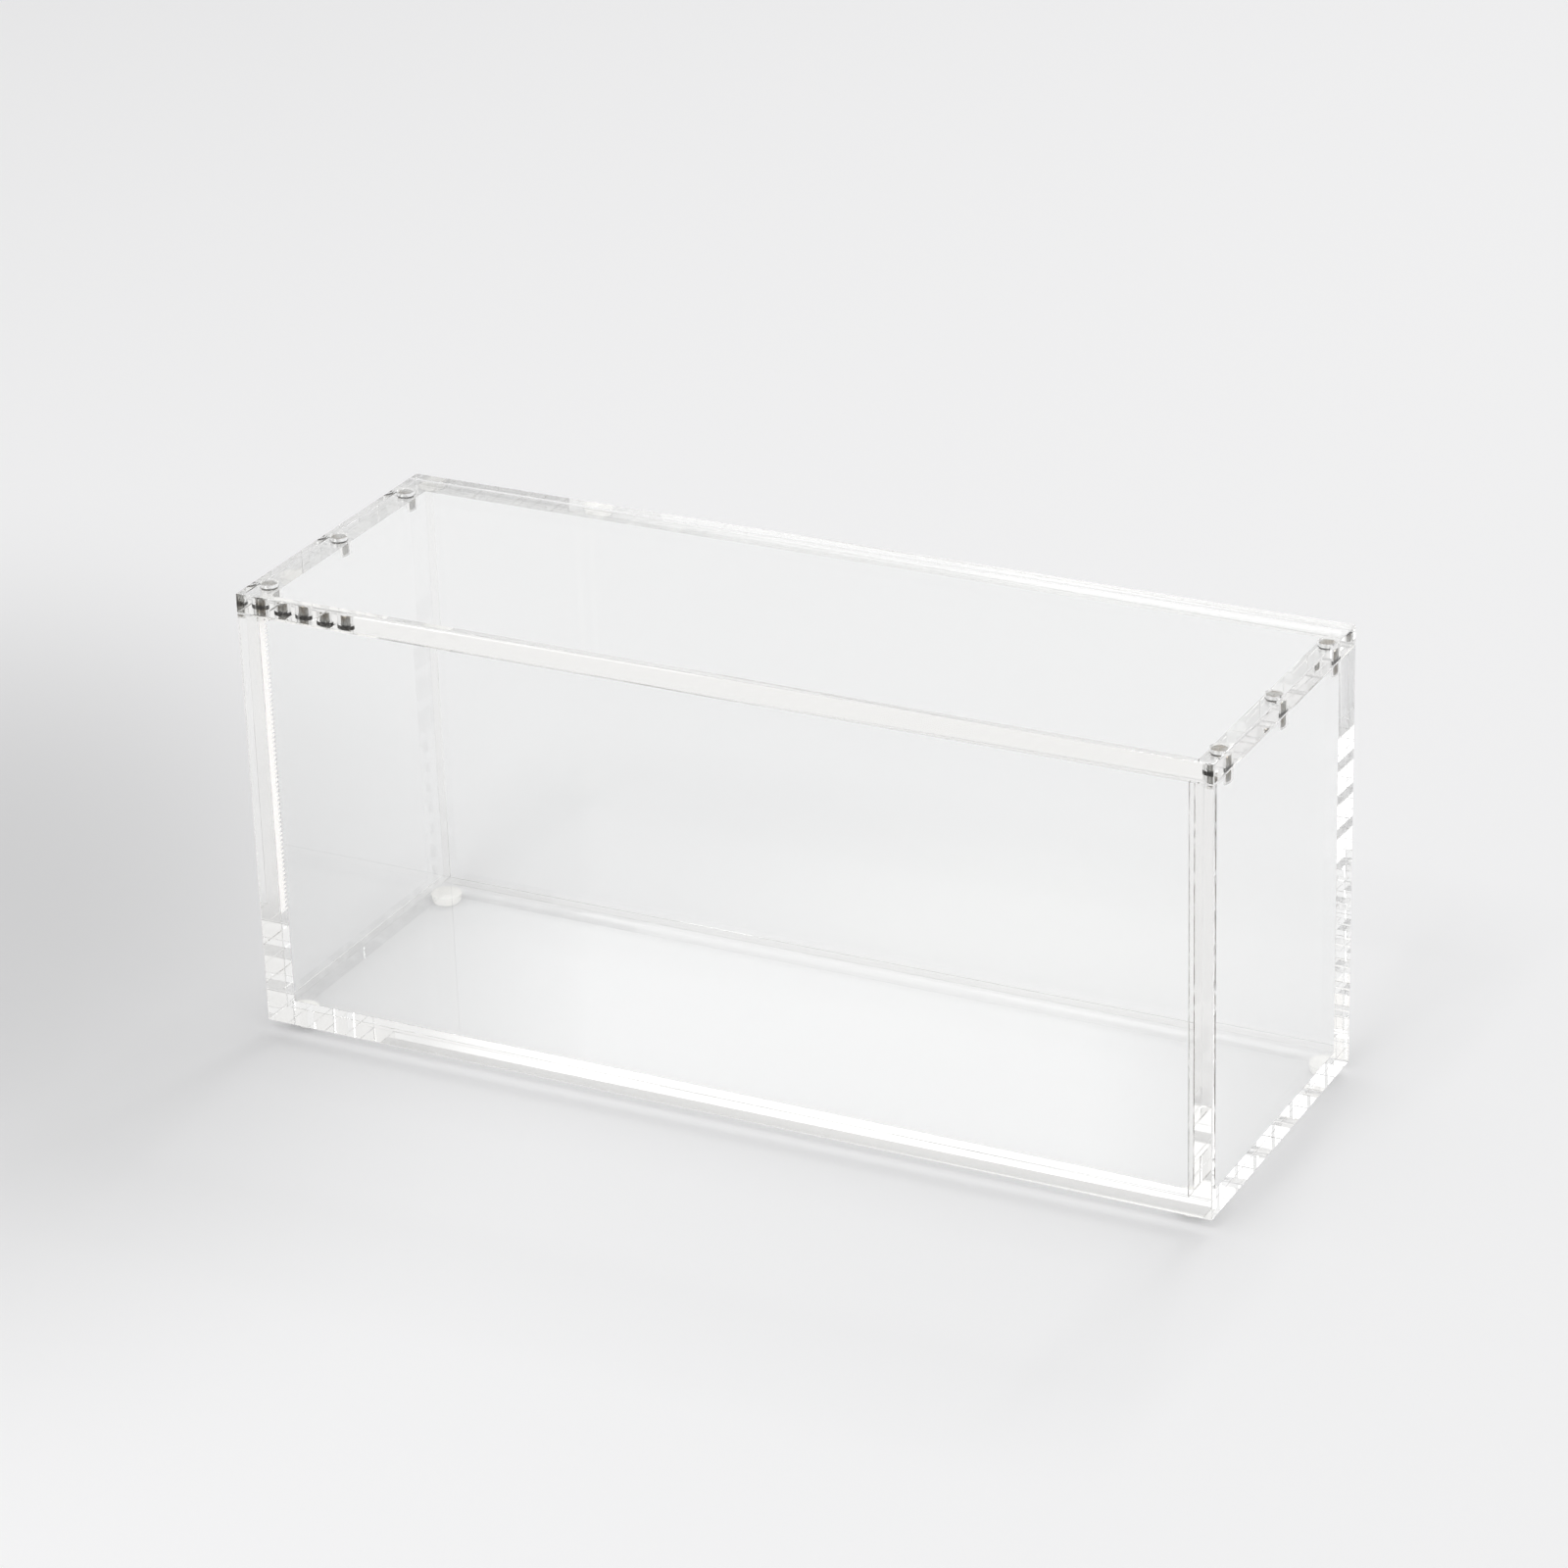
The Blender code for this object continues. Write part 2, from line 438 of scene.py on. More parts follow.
def cut_pockets(shape, centres, mouth, floor, radius, steps):
    """Cut blind round pockets, through Blender's exact Boolean, into a closed shape."""
    cutter = bmesh.new()
    outside = mouth + math.copysign(DRILL_OVERRUN, mouth - floor)
    for centre in centres:
        for end in add_tube(cutter, centre, radius, (outside, floor), steps):
            cutter.faces.new(end)
    bmesh.ops.recalc_face_normals(cutter, faces=cutter.faces)
    sheet = link_mesh("sheet_blank", shape, [])
    drill = link_mesh("pocket_drill", cutter, [])
    cut = sheet.modifiers.new("pockets", "BOOLEAN")
    cut.operation = "DIFFERENCE"
    cut.solver = "EXACT"
    cut.object = drill
    result = bmesh.new()
    result.from_object(sheet, bpy.context.evaluated_depsgraph_get())
    for used in (sheet, drill):
        bpy.data.objects.remove(used, do_unlink=True)
    return result


def slice_at(shape, axis, places):
    """Cut the faces along planes, so that parts of them can be taken away."""
    for place in places:
        point = Vector((0.0, 0.0, 0.0))
        point[axis] = place
        normal = Vector((0.0, 0.0, 0.0))
        normal[axis] = 1.0
        everything = shape.verts[:] + shape.edges[:] + shape.faces[:]
        bmesh.ops.bisect_plane(shape, geom=everything, plane_co=point, plane_no=normal)


def open_joints(shape, is_cemented):
    """Take away the cemented faces, where two sheets have become one body."""
    gone = [face for face in shape.faces if is_cemented(face.calc_center_median(), face.normal)]
    bmesh.ops.delete(shape, geom=gone, context="FACES")


def mark_edge_faces(shape, thin_axis):
    """Give the cut edges of a sheet its second material."""
    for face in shape.faces:
        face.material_index = 0 if abs(face.normal[thin_axis]) > FACING else 1


def magnet_places(side):
    """Centres of the three magnets of one short wall, read from the model."""
    places = []
    for row in ROWS:
        low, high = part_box(f"wall_magnet_{side}_{row}")
        middle = (low + high) / 2
        places.append((middle.x, middle.y))
    return places


def pocket_size(name, end):
    """Radius and end height of the pocket round a magnet, whose end is 0 below or 1 above."""
    low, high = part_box(name)
    radius = (high.x - low.x) / 2 + POCKET_CLEARANCE
    return radius, (low, high)[end].z + (2 * end - 1) * POCKET_CLEARANCE


def paint_node(name, material):
    """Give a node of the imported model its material, for this object alone."""
    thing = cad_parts[name]
    if not thing.material_slots:
        thing.data.materials.append(material)
    for slot in thing.material_slots:
        slot.link = "OBJECT"
        slot.material = material


class DisplayCaseSheetLook(bpy.types.PropertyGroup):
    """Sizes and colours of the clear panels and of their joints"""

    sheet_colour: bpy.props.FloatVectorProperty(
        name="Sheet colour",
        description="Tint of light that crosses a face of the sheet",
        subtype="COLOR",
        default=(0.995, 0.997, 0.995),
        min=0.0,
        max=1.0,
    )
    edge_colour: bpy.props.FloatVectorProperty(
        name="Edge colour",
        description="Tint of light that crosses a cut edge",
        subtype="COLOR",
        default=(0.955, 0.95, 0.935),
        min=0.0,
        max=1.0,
    )
    shadow_tint: bpy.props.FloatVectorProperty(
        name="Shadow tint",
        description="Share of lamp light that a face lets through",
        subtype="COLOR",
        default=(0.965, 0.965, 0.965),
        min=0.0,
        max=1.0,
    )
    edge_shadow_tint: bpy.props.FloatVectorProperty(
        name="Edge shadow tint",
        description="Share of lamp light that a cut edge lets through",
        subtype="COLOR",
        default=(0.65, 0.65, 0.65),
        min=0.0,
        max=1.0,
    )
    edge_soft_tint: bpy.props.FloatVectorProperty(
        name="Edge room tint",
        description="Share of room light that a cut edge lets through",
        subtype="COLOR",
        default=(0.3, 0.3, 0.3),
        min=0.0,
        max=1.0,
    )
    sheet_ior: bpy.props.FloatProperty(
        name="Refraction",
        description="Index of refraction of acrylic",
        default=1.49,
        min=1.0,
        max=2.0,
    )
    haze: bpy.props.FloatProperty(
        name="Haze",
        description="Roughness where the face has been handled",
        subtype="FACTOR",
        default=0.012,
        min=0.0,
        max=1.0,
    )
    edge_roughness: bpy.props.FloatProperty(
        name="Edge roughness",
        description="Roughness of the polished edges",
        subtype="FACTOR",
        default=0.06,
        min=0.0,
        max=1.0,
    )
    sawn_colour: bpy.props.FloatVectorProperty(
        name="Sawn end",
        description="Colour of the sawn end",
        subtype="COLOR",
        default=(0.98, 0.98, 0.97),
        min=0.0,
        max=1.0,
    )
    sawn_tint: bpy.props.FloatVectorProperty(
        name="Sawn tint",
        description="Colour of the sawn end where it is warmer",
        subtype="COLOR",
        default=(0.98, 0.95, 0.9),
        min=0.0,
        max=1.0,
    )
    sawn_cover: bpy.props.FloatProperty(
        name="Sawn cover",
        description="How white the sawn end is",
        subtype="FACTOR",
        default=0.85,
        min=0.0,
        max=1.0,
    )
    # Painted light: the glow of the sawn end is emission, not a lamp
    sawn_painted_glow: bpy.props.FloatProperty(
        name="Sawn glow",
        description="Light that the sawn end gathers from inside the sheet",
        subtype="FACTOR",
        default=0.37,
        min=0.0,
        max=1.0,
    )
    sawn_start: bpy.props.FloatProperty(
        name="Sawn start",
        description="Height above the base at which the sawn end stays white",
        unit="LENGTH",
        default=0.025,
        min=0.0,
        max=0.1,
    )
    tooth_pitch: bpy.props.FloatProperty(
        name="Tooth pitch",
        description="Distance between two marks of the saw's teeth",
        unit="LENGTH",
        default=0.0012,
        min=0.0002,
        max=0.01,
    )
    tooth_depth: bpy.props.FloatProperty(
        name="Tooth depth",
        description="Length of a mark of the saw's teeth",
        unit="LENGTH",
        default=0.0018,
        min=0.0,
        max=0.005,
    )
    border_colour: bpy.props.FloatVectorProperty(
        name="Joint border",
        description="Colour of the open gap round a joint",
        subtype="COLOR",
        default=(0.14, 0.12, 0.09),
        min=0.0,
        max=1.0,
    )
    border_cover: bpy.props.FloatProperty(
        name="Border cover",
        description="How dark the border of a joint is",
        subtype="FACTOR",
        default=0.8,
        min=0.0,
        max=1.0,
    )
    longest_path: bpy.props.FloatProperty(
        name="Longest path",
        description="Bounces after which a trapped ray leaves the sheet",
        default=70.0,
        min=4.0,
        max=120.0,
    )
    eased_edge: bpy.props.FloatProperty(
        name="Eased edge",
        description="Round on the free edges",
        unit="LENGTH",
        default=0.0003,
        min=0.0,
        max=0.001,
    )
    joint_groove: bpy.props.FloatProperty(
        name="Joint groove",
        description="Chamfer on both sides of a cemented joint",
        unit="LENGTH",
        default=0.00012,
        min=0.0,
        max=0.0005,
    )
    pocket_steps: bpy.props.IntProperty(
        name="Pocket steps",
        description="Steps round a magnet pocket",
        default=48,
        min=12,
        max=96,
    )


class DisplayCaseFittingLook(bpy.types.PropertyGroup):
    """Sizes and colours of the magnets, their glue and the feet"""

    plate_colour: bpy.props.FloatVectorProperty(
        name="Plating",
        description="Colour of the nickel plating",
        subtype="COLOR",
        default=(0.37, 0.368, 0.355),
        min=0.0,
        max=1.0,
    )
    plate_stain: bpy.props.FloatVectorProperty(
        name="Stain",
        description="Warm stain on the plating",
        subtype="COLOR",
        default=(0.2, 0.17, 0.13),
        min=0.0,
        max=1.0,
    )
    # Painted shade of the gap round a magnet, on its lower rim and at the mouth of its pocket
    painted_rim_shade: bpy.props.FloatVectorProperty(
        name="Rim",
        description="Colour of the dark glue in a pocket and on a magnet's lower rim",
        subtype="COLOR",
        default=(0.04, 0.036, 0.03),
        min=0.0,
        max=1.0,
    )
    # Band of painted shade on the magnet's lower rim, from here up to rim_top
    rim_bottom: bpy.props.FloatProperty(
        name="Rim bottom",
        description="Height, from the middle of a magnet, up to which its rim is dark",
        unit="LENGTH",
        default=-0.0009,
        min=-0.0015,
        max=0.0015,
    )
    rim_top: bpy.props.FloatProperty(
        name="Rim top",
        description="Height, from the middle of a magnet, above which its plating is clean",
        unit="LENGTH",
        default=-0.0005,
        min=-0.0015,
        max=0.0015,
    )
    # Painted shade: how far the dark ring at the mouth of a lid pocket reaches in
    shade_ring_depth: bpy.props.FloatProperty(
        name="Glue depth",
        description="How far the dark glue reaches into a pocket",
        unit="LENGTH",
        default=0.00052,
        min=0.0001,
        max=0.003,
    )
    # Painted shade: how dark the ring at the mouth of a lid pocket is
    shade_ring_cover: bpy.props.FloatProperty(
        name="Glue cover",
        description="How dark the glue is",
        subtype="FACTOR",
        default=0.97,
        min=0.0,
        max=1.0,
    )
    plate_roughness: bpy.props.FloatProperty(
        name="Plating roughness",
        description="Least roughness of the plating",
        subtype="FACTOR",
        default=0.16,
        min=0.0,
        max=1.0,
    )
    bumper_colour: bpy.props.FloatVectorProperty(
        name="Bumper colour",
        description="Colour of the soft feet",
        subtype="COLOR",
        default=(0.98, 0.97, 0.94),
        min=0.0,
        max=1.0,
    )
    # Painted light: the foot's glow is emission, not a lamp
    bumper_painted_glow: bpy.props.FloatProperty(
        name="Bumper glow",
        description="Light that a foot gathers from the sheet above it",
        subtype="FACTOR",
        default=0.16,
        min=0.0,
        max=1.0,
    )
    shadow_tint: bpy.props.FloatVectorProperty(
        name="Bumper shadow tint",
        description="Share of lamp light that a foot lets through",
        subtype="COLOR",
        default=(0.8, 0.8, 0.8),
        min=0.0,
        max=1.0,
    )
    longest_path: bpy.props.FloatProperty(
        name="Longest path",
        description="Bounces after which a trapped ray leaves a foot",
        default=70.0,
        min=4.0,
        max=120.0,
    )


class DisplayCaseStageLook(bpy.types.PropertyGroup):
    """Colours of the paper with its painted shade and light, light of the room and lens of the
    camera
    """

    floor_colour: bpy.props.FloatVectorProperty(
        name="Floor colour",
        description="Colour of the paper that the case stands on",
        subtype="COLOR",
        default=(0.93, 0.93, 0.935),
        min=0.0,
        max=1.0,
    )
    # Painted shade: the paper lies flat, and this darker colour in an oval stands in for shade
    painted_floor_shade: bpy.props.FloatVectorProperty(
        name="Floor shade",
        description="Colour of the paper where it bends away from the lamps",
        subtype="COLOR",
        default=(0.66, 0.66, 0.665),
        min=0.0,
        max=1.0,
    )
    # Painted light: a lighter colour in an oval that stands in for light the case gathers onto the
    # paper
    painted_floor_light: bpy.props.FloatVectorProperty(
        name="Floor light",
        description="Colour of the paper where the case gathers light on it",
        subtype="COLOR",
        default=(0.995, 0.995, 0.995),
        min=0.0,
        max=1.0,
    )
    room_colour: bpy.props.FloatVectorProperty(
        name="Room colour",
        description="Colour of the light from all sides",
        subtype="COLOR",
        default=(1.0, 1.0, 1.0),
        min=0.0,
        max=1.0,
    )
    room_strength: bpy.props.FloatProperty(
        name="Room light",
        description="Strength of the light from all sides",
        default=0.56,
        min=0.0,
        max=1.0,
    )
    wall_strength: bpy.props.FloatProperty(
        name="Room walls",
        description="Brightness of the room where a sheet or a magnet shows it",
        default=0.92,
        min=0.0,
        max=1.0,
    )
    focal_length: bpy.props.FloatProperty(
        name="Focal length",
        description="Focal length of the camera in millimetres",
        subtype="DISTANCE_CAMERA",
        default=122.828,
        min=20.0,
        max=300.0,
    )


def sheet_materials(look):
    """The finishes of face and edge, made once for all the sheets."""
    names = ("clear_sheet_face", "polished_sheet_edge")
    if names[0] not in bpy.data.materials:
        sheet_face_finish(look)
        sheet_edge_finish(look)
    return [bpy.data.materials[name] for name in names]


def stand_for(piece, node, body):
    """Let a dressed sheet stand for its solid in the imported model."""
    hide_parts(node)
    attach(piece, body)


def lay_film(name, shape, finish, body):
    """Put a film without thickness in the scene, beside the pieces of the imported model."""
    shape.normal_update()
    piece = link_mesh(name, shape, [finish])
    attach(piece, body)


class DISPLAYCASE_OT_base_sheet(bpy.types.Operator):
    """Dress the base plate, whose top the walls are cemented to"""

    bl_idname = "display_case.base_sheet"
    bl_label = "Base plate"

    def execute(self, context):
        look = context.scene.display_case_sheet
        low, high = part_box("base_panel")
        room_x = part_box("right_wall")[0].x
        room_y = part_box("back_wall")[0].y
        shape = box_shape(low, high)

        def is_free(middle, way):
            return middle.z < high.z - BY_FACE

        def is_joint(middle, way):
            return middle.z > high.z - ON_FACE

        def is_cemented(middle, normal):
            outside = abs(middle.x) > room_x or abs(middle.y) > room_y
            return normal.z > FACING and outside

        ease(shape, look.eased_edge, EASED_SEGMENTS, is_free)
        ease(shape, look.joint_groove, GROOVE_SEGMENTS, is_joint)
        slice_at(shape, 0, (-room_x, room_x))
        slice_at(shape, 1, (-room_y, room_y))
        shape.normal_update()
        open_joints(shape, is_cemented)
        mark_edge_faces(shape, 2)
        piece = link_mesh("base_sheet", shape, sheet_materials(look))
        stand_for(piece, "base_panel", "case")
        return {"FINISHED"}


class DISPLAYCASE_OT_long_sheets(bpy.types.Operator):
    """Dress the front and back walls, cemented between the short walls"""

    bl_idname = "display_case.long_sheets"
    bl_label = "Front and back walls"

    def execute(self, context):
        look = context.scene.display_case_sheet
        for depth, sign in DEPTHS.items():
            low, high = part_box(depth + "_wall")
            low.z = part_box("base_panel")[1].z
            low.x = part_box("left_wall")[1].x
            high.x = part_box("right_wall")[0].x
            shape = box_shape(low, high)

            def is_joint(middle, way):
                outer = middle.y * sign > (abs(low.y) + abs(high.y)) / 2
                return outer and abs(way.y) < FACING and middle.z < high.z - BY_FACE

            def is_cemented(middle, normal):
                return normal.z < -FACING or abs(normal.x) > FACING

            ease(shape, look.joint_groove, GROOVE_SEGMENTS, is_joint)
            shape.normal_update()
            open_joints(shape, is_cemented)
            mark_edge_faces(shape, 1)
            piece = link_mesh(depth + "_sheet", shape, sheet_materials(look))
            stand_for(piece, depth + "_wall", "case")
        return {"FINISHED"}


class DISPLAYCASE_OT_short_sheets(bpy.types.Operator):
    """Dress the left and right walls, with pockets for magnets in their tops"""

    bl_idname = "display_case.short_sheets"
    bl_label = "Left and right walls"

    def execute(self, context):
        look = context.scene.display_case_sheet
        room_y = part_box("back_wall")[0].y
        for side, sign in SIDES.items():
            low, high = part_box(side + "_wall")
            low.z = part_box("base_panel")[1].z
            middle_x = (low.x + high.x) / 2
            shape = box_shape(low, high)

            def is_free(middle, way):
                return abs(way.z) > FACING and (middle.x - middle_x) * sign > 0.0

            def is_joint(middle, way):
                inner = (middle.x - middle_x) * sign < -OFF_CENTRE
                if abs(way.z) > FACING:
                    return inner
                return middle.z < low.z + ON_FACE and not inner

            def is_cemented(middle, normal):
                foot = normal.z < -FACING and middle.z < low.z + BY_FACE
                return foot or normal.x * sign < -FACING and abs(middle.y) > room_y

            ease(shape, look.eased_edge, EASED_SEGMENTS, is_free)
            ease(shape, look.joint_groove, GROOVE_SEGMENTS, is_joint)
            centres = magnet_places(side)
            radius, floor = pocket_size(f"wall_magnet_{side}_middle", 0)
            shape = cut_pockets(shape, centres, high.z, floor, radius, look.pocket_steps)
            slice_at(shape, 1, (-room_y, room_y))
            shape.normal_update()
            open_joints(shape, is_cemented)
            mark_edge_faces(shape, 0)
            piece = link_mesh(side + "_sheet", shape, sheet_materials(look))
            stand_for(piece, side + "_wall", "case")
        return {"FINISHED"}


class DISPLAYCASE_OT_lid_sheet(bpy.types.Operator):
    """Dress the loose lid, with pockets for magnets in its underside"""

    bl_idname = "display_case.lid_sheet"
    bl_label = "Lid"

    def execute(self, context):
        look = context.scene.display_case_sheet
        low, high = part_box("lid_panel")
        shape = box_shape(low, high)
        ease(shape, look.eased_edge, EASED_SEGMENTS, lambda middle, way: True)
        centres = [place for side in SIDES for place in magnet_places(side)]
        radius, roof = pocket_size("lid_magnet_left_middle", 1)
        shape = cut_pockets(shape, centres, low.z, roof, radius, look.pocket_steps)
        shape.normal_update()
        mark_edge_faces(shape, 2)
        piece = link_mesh("lid_sheet", shape, sheet_materials(look))
        stand_for(piece, "lid_panel", "lid")
        return {"FINISHED"}


class DISPLAYCASE_OT_joints(bpy.types.Operator):
    """Lay the dark borders of the cemented joints, where the cement leaves a thin gap"""

    bl_idname = "display_case.joints"
    bl_label = "Cemented joints"

    def execute(self, context):
        look = context.scene.display_case_sheet
        finish = joint_border_finish(look)
        base_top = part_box("base_panel")[1].z
        for name in (*DEPTHS, *SIDES):
            low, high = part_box(name + "_wall")
            along, across = (0, 1) if name in DEPTHS else (1, 0)
            line = (along, low[along], high[along])
            borders = (across, low[across], high[across])
            self.lay_borders(name + "_foot_joint", (2, base_top), line, borders, FOOT_GAP, finish)
        for (depth, side), gap in UPRIGHT_GAPS.items():
            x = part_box(side + "_wall")[1 if side == "left" else 0].x
            low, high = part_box(depth + "_wall")
            line = (2, base_top, high.z)
            borders = (1, low.y, high.y)
            name = f"{depth}_{side}_upright_joint"
            self.lay_borders(name, (0, x), line, borders, gap, finish)
        self.lay_sawn_end(look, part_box("left_wall")[1].x, *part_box("front_wall"))
        return {"FINISHED"}

    def lay_sawn_end(self, look, x, low, high):
        """The sawn end of the front wall that stays white, with the marks of the saw's teeth."""
        shape = bmesh.new()
        half_pitch = look.tooth_pitch / 2
        steps = 2 * round((high.z - low.z - look.sawn_start) / look.tooth_pitch)
        start = high.z - steps * half_pitch
        front = low.y + SAWN_INSET
        for step in range(steps):
            back = high.y - SAWN_INSET - (look.tooth_depth if step % 2 else 0.0)
            foot = start + step * half_pitch
            head = foot + half_pitch
            corners = ((front, foot), (back, foot), (back, head), (front, head))
            shape.faces.new([shape.verts.new((x, y, z)) for y, z in corners])
        lay_film("front_left_sawn_end", shape, sawn_finish(look), "case")

    def lay_borders(self, name, plane, line, borders, gap, finish):
        """Lay two border lines of uneven width along a joint.

        The plane is an axis and a place on it, and the line and the borders are each an axis
        and the two ends on it.
        """
        along, start, end = line
        across, near, far = borders
        steps = round((end - start) / BORDER_STEP)
        shape = bmesh.new()
        rows = []
        for step in range(steps + 1):
            at = start + (end - start) * step / steps
            uneven = sum(share * math.sin(at * turn + lead) for share, turn, lead in BORDER_WAVES)
            reach = BORDER_INSET + gap * (1.0 + uneven)
            rows.append([])
            for value in (near + BORDER_INSET, near + reach, far - reach, far - BORDER_INSET):
                point = [0.0, 0.0, 0.0]
                point[plane[0]], point[along], point[across] = plane[1], at, value
                rows[-1].append(shape.verts.new(point))
        for first, second in zip(rows, rows[1:]):
            for strip in (0, 2):
                shape.faces.new((first[strip], second[strip], second[strip + 1], first[strip + 1]))
        lay_film(name, shape, finish, "case")


class DISPLAYCASE_OT_magnets(bpy.types.Operator):
    """Plate the disc magnets in the lid and the short walls"""

    bl_idname = "display_case.magnets"
    bl_label = "Magnets"

    def execute(self, context):
        look = context.scene.display_case_fittings
        finish = nickel_finish(look)
        shade_ring = shade_ring_finish(look)
        for side in SIDES:
            for row in ROWS:
                for body in ("wall", "lid"):
                    paint_node(f"{body}_magnet_{side}_{row}", finish)
        # Painted shade round the magnets in the lid
        self.lay_shade_rings(look.shade_ring_depth, context.scene.display_case_sheet.pocket_steps, shade_ring)
        return {"FINISHED"}

    def lay_shade_rings(self, depth, steps, shade_ring):
        """Lay a thin dark ring of painted shade, for the shaded gap round the magnet, just behind
        the wall of each pocket of the lid, at its mouth.
        """
        shape = bmesh.new()
        radius = pocket_size("lid_magnet_left_middle", 1)[0] + SHADE_RING_SPACE
        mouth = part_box("lid_magnet_left_middle")[0].z
        for side in SIDES:
            for centre in magnet_places(side):
                add_tube(shape, centre, radius, (mouth, mouth + depth), steps)
        lay_film("lid_magnet_painted_shade", shape, shade_ring, "lid")


class DISPLAYCASE_OT_feet(bpy.types.Operator):
    """Finish the four clear bumper feet"""

    bl_idname = "display_case.feet"
    bl_label = "Feet"

    def execute(self, context):
        finish = foot_finish(context.scene.display_case_fittings)
        for depth in DEPTHS:
            for side in SIDES:
                paint_node(f"foot_{depth}_{side}", finish)
        return {"FINISHED"}


class DISPLAYCASE_OT_stage(bpy.types.Operator):
    """Lay the pale paper, light the room and place the camera"""

    bl_idname = "display_case.stage"
    bl_label = "Stage"

    def execute(self, context):
        look = context.scene.display_case_stage
        self.lay_paper(look)
        self.light_room(context.scene, look)
        self.place_camera(context.scene, look)
        self.let_rays_live(context.scene)
        context.scene.view_settings.view_transform = "Standard"
        return {"FINISHED"}

    def lay_paper(self, look):
        """Lay pale paper with a patch of painted shade and a pool of painted light in it."""
        tree = new_tree("studio_paper")
        fibres = tree.noise(900.0, 3.0)
        bump = tree.add("Bump", {}, {"Strength": 0.05, "Distance": 0.0002, "Height": fibres})
        shade = opaque(look.floor_colour)
        # Paint the ovals of shade and light into the paper's colour
        for middle, turn, half, tone in PAPER_TONES:
            share = self.painted_tone_share(tree, middle, turn, half)
            shade = tree.mix_colour(share, shade, opaque(getattr(look, tone)))
        sockets = {
            "Base Color": shade,
            "Roughness": 0.8,
            "Specular IOR Level": 0.1,
            "Normal": bump,
        }
        paper = tree.finish(tree.add("BsdfPrincipled", {}, sockets))
        shape = bmesh.new()
        cells = {"x_segments": PAPER_CELLS, "y_segments": PAPER_CELLS}
        bmesh.ops.create_grid(shape, size=PAPER_HALF, **cells)
        shape.normal_update()
        link_mesh("paper_floor", shape, [paper])

    def painted_tone_share(self, tree, middle, turn, half):
        """How far a point of the paper lies inside one of the soft ovals of painted shade and
        light: 1 in its middle, 0 outside.
        """
        sockets = {
            "Vector": tree.add("TexCoord", {}, {}, "Object"),
            "Location": (*middle, 0.0),
            "Rotation": (0.0, 0.0, turn),
            "Scale": (*half, 1.0),
        }
        reach = tree.add("Mapping", {"vector_type": "TEXTURE"}, sockets)
        reach = tree.add("VectorMath", {"operation": "LENGTH"}, {0: reach}, "Value")
        fall = {"interpolation_type": "SMOOTHERSTEP", "clamp": True}
        span = {"Value": reach, "From Min": 0.0, "From Max": 1.0}
        return tree.add("MapRange", fall, {**span, "To Min": 1.0, "To Max": 0.0})

    def light_room(self, scene, look):
        """Light the case from all sides, show the sheets a room, and hang the softboxes."""
        world = bpy.data.worlds.new("soft_room")
        scene.world = world
        tree = Tree(world)
        path = tree.add("LightPath", {}, {}, "Is Camera Ray")
        seen = path.either(path["Is Glossy Ray"]).either(path["Is Transmission Ray"])
        light = {"Color": opaque(look.room_colour), "Strength": look.room_strength}
        light = tree.add("Background", {}, light)
        shown = {"Color": self.mirrored_room(tree, look), "Strength": look.wall_strength}
        shown = tree.add("Background", {}, shown)
        room = tree.add("MixShader", {}, {0: seen, 1: light, 2: shown})
        tree.add("OutputWorld", {}, {"Surface": room})
        for softbox in SOFTBOXES:
            self.hang_softbox(scene, *softbox)

    def mirrored_room(self, tree, look):
        """The room as a sheet mirrors it: pale, with darker zones and a bright one."""
        way = tree.add("TexCoord", {}, {}, "Generated")
        way = tree.add("SeparateXYZ", {}, {0: way}, "X")
        bearing = way["Y"].math("ARCTAN2", way["Y"], way)
        height = way.math("ARCSINE", way["Z"])
        shade = opaque(look.room_colour)
        for middle, half, softness, brightness in ROOM_ZONES:
            turn = bearing - math.radians(middle[0])
            turn = turn.math("WRAP", turn, math.pi, -math.pi)
            rise = height - math.radians(middle[1])
            across = self.zone_share(tree, turn, half[0], softness[0])
            upward = self.zone_share(tree, rise, half[1], softness[1])
            shade = tree.mix_colour(across * upward, shade, opaque([brightness] * 3))
        return shade

    def zone_share(self, tree, angle, half, softness):
        """How far a direction lies inside a zone: 1 inside, 0 outside, with a soft border."""
        inner, outer = (math.radians(half + way * softness) for way in (-1.0, 1.0))
        span = {"Value": abs(angle), "From Min": inner, "From Max": outer}
        return tree.add("MapRange", {"clamp": True}, {**span, "To Min": 1.0, "To Max": 0.0})

    def hang_softbox(self, scene, name, place, target, size, brightness):
        """Hang a soft lamp that faces a point."""
        lamp = bpy.data.lights.new(name, "AREA")
        lamp.shape = "RECTANGLE"
        lamp.size, lamp.size_y = size
        lamp.energy = brightness * math.pi * size[0] * size[1]
        box = bpy.data.objects.new(name, lamp)
        box.location = place
        way = Vector(place) - Vector(target)
        box.rotation_euler = way.to_track_quat("Z", "Y").to_euler()
        box.visible_camera = False
        scene.collection.objects.link(box)

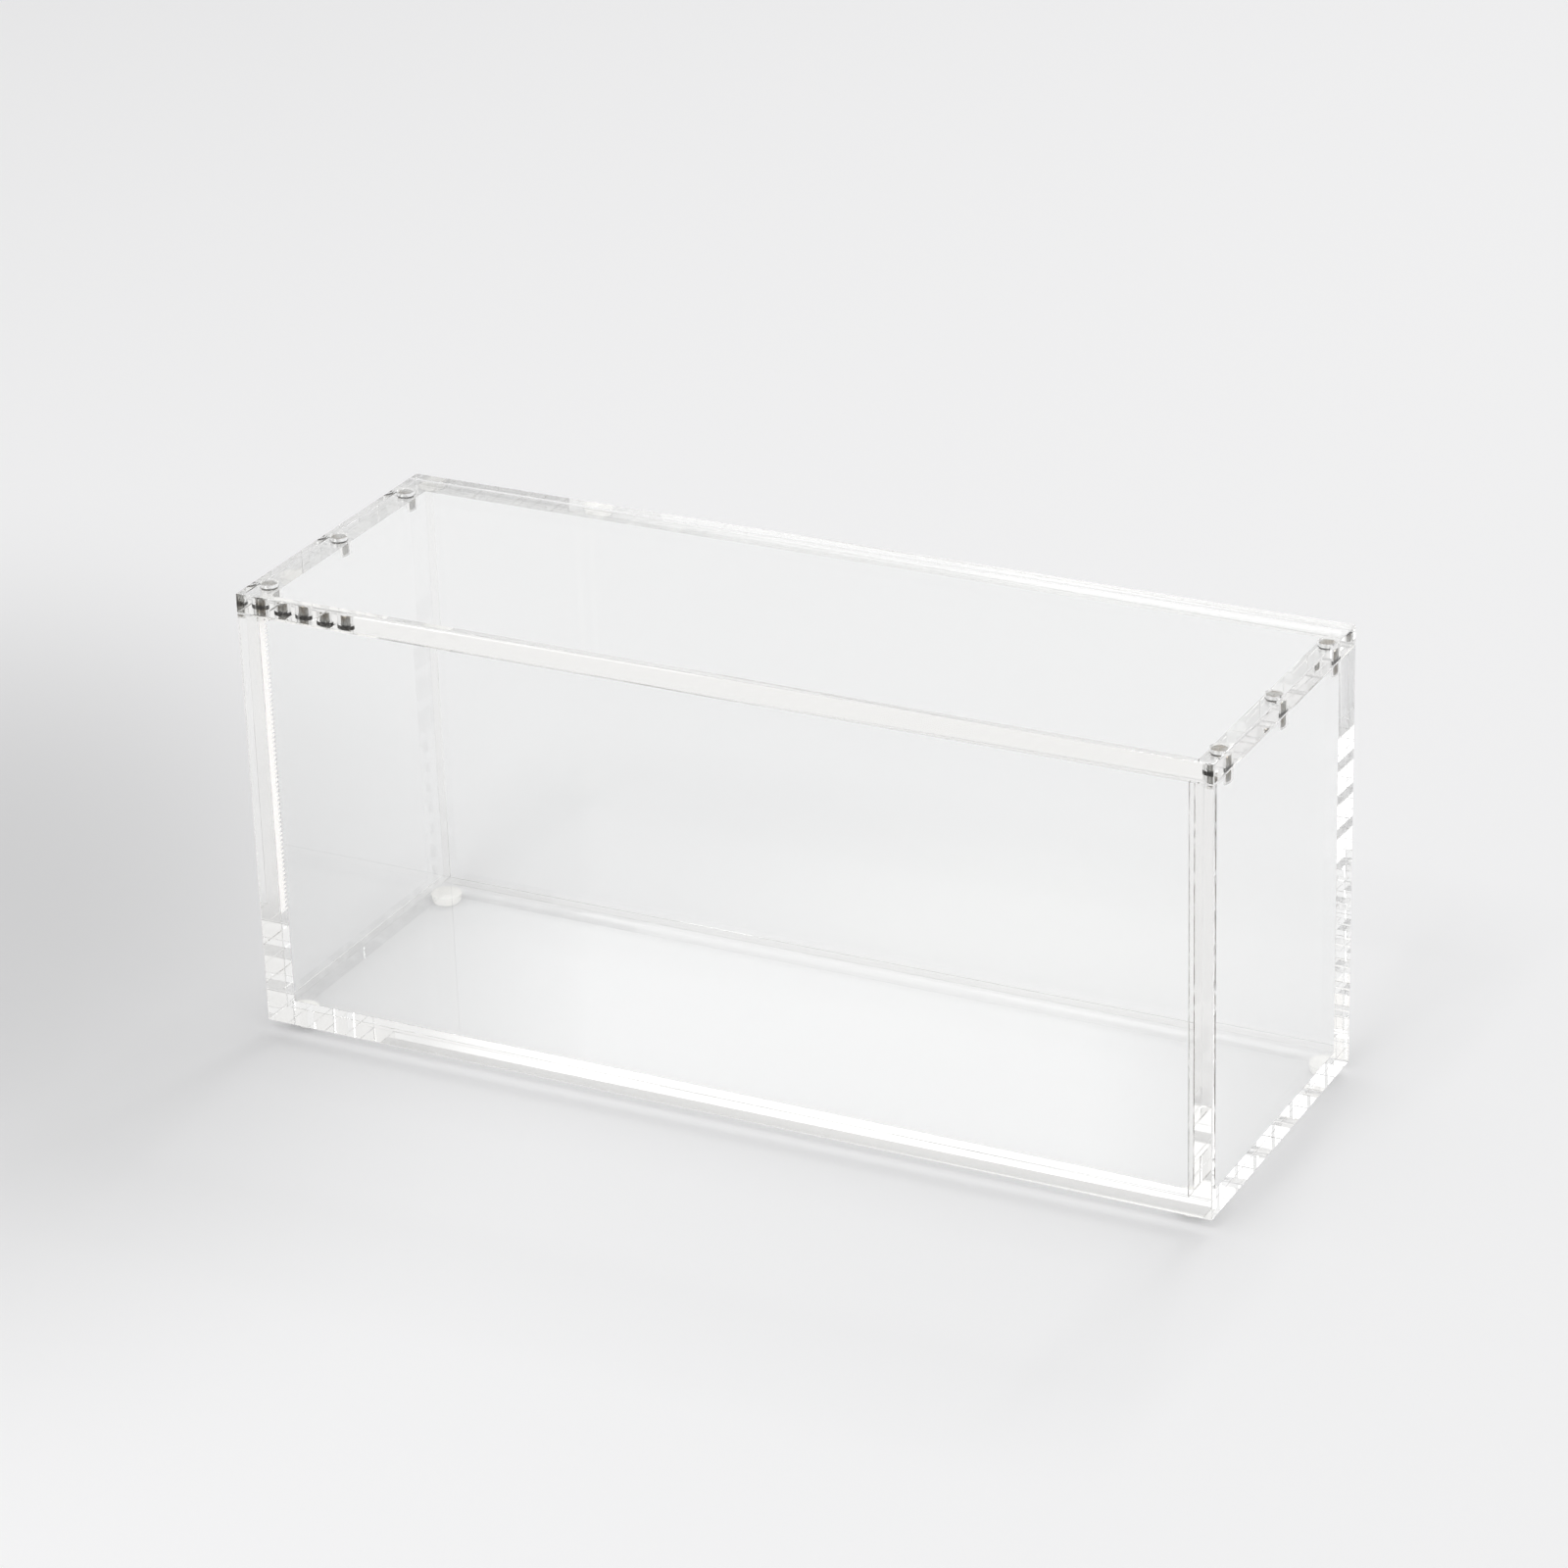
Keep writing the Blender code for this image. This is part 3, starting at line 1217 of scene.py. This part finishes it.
    def place_camera(self, scene, look):
        """Put the camera where the photograph was taken from."""
        lens = bpy.data.cameras.new("photo_camera")
        lens.sensor_width = SENSOR_WIDTH
        lens.lens = look.focal_length
        lens.clip_start = CLIP_START
        camera = bpy.data.objects.new("photo_camera", lens)
        camera.location = CAMERA_PLACE
        camera.rotation_euler = Euler([math.radians(angle) for angle in CAMERA_TURN], "XYZ")
        scene.collection.objects.link(camera)
        scene.camera = camera

    def let_rays_live(self, scene):
        """Let light turn inside a clear sheet until it comes out."""
        scene.cycles.max_bounces = MOST_BOUNCES
        scene.cycles.transmission_bounces = MOST_BOUNCES
        scene.cycles.glossy_bounces = MOST_BOUNCES
        scene.cycles.transparent_max_bounces = MOST_BOUNCES


class DISPLAYCASE_PT_build(bpy.types.Panel):
    """Buttons that dress the pieces, and the settings that they use"""

    bl_label = "Display Case"
    bl_space_type = "VIEW_3D"
    bl_region_type = "UI"
    bl_category = "Display Case"

    def draw(self, context):
        for operator in OPERATORS:
            self.layout.operator(operator.bl_idname)
        for name, look in LOOKS.items():
            column = self.layout.column()
            for setting in look.__annotations__:
                column.prop(getattr(context.scene, name), setting)


OPERATORS = (
    DISPLAYCASE_OT_base_sheet,
    DISPLAYCASE_OT_long_sheets,
    DISPLAYCASE_OT_short_sheets,
    DISPLAYCASE_OT_lid_sheet,
    DISPLAYCASE_OT_joints,
    DISPLAYCASE_OT_magnets,
    DISPLAYCASE_OT_feet,
    DISPLAYCASE_OT_stage,
)
LOOKS = {
    "display_case_sheet": DisplayCaseSheetLook,
    "display_case_fittings": DisplayCaseFittingLook,
    "display_case_stage": DisplayCaseStageLook,
}
CLASSES = (*LOOKS.values(), *OPERATORS, DISPLAYCASE_PT_build)


def register():
    for kind in CLASSES:
        bpy.utils.register_class(kind)
    for name, look in LOOKS.items():
        setattr(bpy.types.Scene, name, bpy.props.PointerProperty(type=look))


def unregister():
    for name in LOOKS:
        delattr(bpy.types.Scene, name)
    for kind in reversed(CLASSES):
        bpy.utils.unregister_class(kind)


def main():
    register()
    bpy.ops.display_case.stage()
    bpy.ops.display_case.base_sheet()
    bpy.ops.display_case.long_sheets()
    bpy.ops.display_case.short_sheets()
    bpy.ops.display_case.lid_sheet()
    bpy.ops.display_case.joints()
    bpy.ops.display_case.magnets()
    bpy.ops.display_case.feet()


if __name__ == "__main__":
    main()
